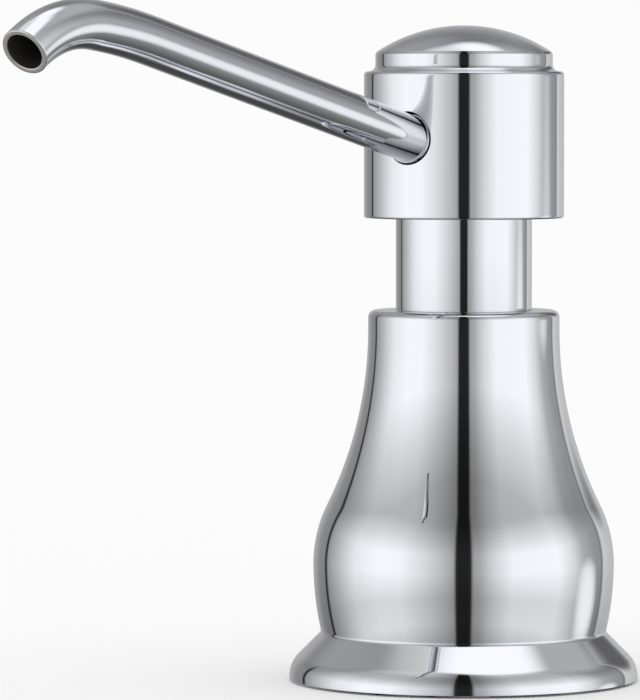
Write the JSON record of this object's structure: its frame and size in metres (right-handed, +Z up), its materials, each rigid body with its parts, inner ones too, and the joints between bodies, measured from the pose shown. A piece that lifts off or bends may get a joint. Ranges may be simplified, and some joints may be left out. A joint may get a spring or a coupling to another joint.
{
  "type": "soap pump dispenser",
  "caption": "Deck-mounted soap pump: bell body, sliding collar, turning head with a long bent spout, and the sprung plunger pump inside.",
  "frame": {"origin": "on the pump's upright axis, at the deck plane that the base gasket stands on", "axes": "+Z up along the pump's axis; -Y is the way the spout points at rest; +X is to the right of someone who faces the spout's mouth from behind the head"},
  "size_m": [0.058, 0.1479, 0.112],
  "materials": {
    "chrome": "bright chrome plate, mirror polished",
    "cast_brass": "machined brass, dull",
    "spring_steel": "bright stainless steel",
    "natural_plastic": "milky moulded plastic",
    "grey_plastic": "satin moulded plastic",
    "black_rubber": "matt rubber"
  },
  "bodies": {
    "base": {"bell_shell": "chrome", "base_gasket": "black_rubber", "base_insert": "cast_brass", "retaining_ring": "spring_steel", "guide_bush": "natural_plastic", "wiper_seal": "black_rubber", "pump_housing": "natural_plastic", "housing_gasket": "black_rubber", "clamp_nut": "grey_plastic", "stem_guide": "grey_plastic", "ball_cage": "natural_plastic", "return_spring": "spring_steel"},
    "inlet_valve": {"inlet_ball": "spring_steel"},
    "plunger": {"spring_cup": "spring_steel", "piston_seal": "natural_plastic"},
    "head": {"pump_stem": "natural_plastic", "delivery_core": "grey_plastic", "stem_sleeve": "chrome", "head_base_ring": "chrome", "head_shell": "chrome", "head_cap": "chrome", "spout_tube": "chrome", "spout_ferrule": "chrome", "spout_o_ring": "black_rubber"},
    "outlet_valve": {"outlet_ball": "spring_steel"}
  },
  "joints": [
    {"name": "plunger_slide", "type": "slide", "parent": "base", "child": "plunger", "axis": [0, 0, -1], "range_m": [0, 0.014], "stiffness_N_per_m": 450, "springref_m": -0.016, "deforming": ["return_spring"]},
    {"name": "head_swivel", "type": "hinge", "parent": "plunger", "child": "head", "pos_m": [0, 0, 0.077], "axis": [0, 0, 1], "continuous": true},
    {"name": "inlet_ball_lift", "type": "slide", "parent": "base", "child": "inlet_valve", "axis": [0, 0, 1], "range_m": [0, 0.0016]},
    {"name": "outlet_ball_lift", "type": "slide", "parent": "head", "child": "outlet_valve", "axis": [0, 0, 1], "range_m": [0, 0.0016]}
  ]
}
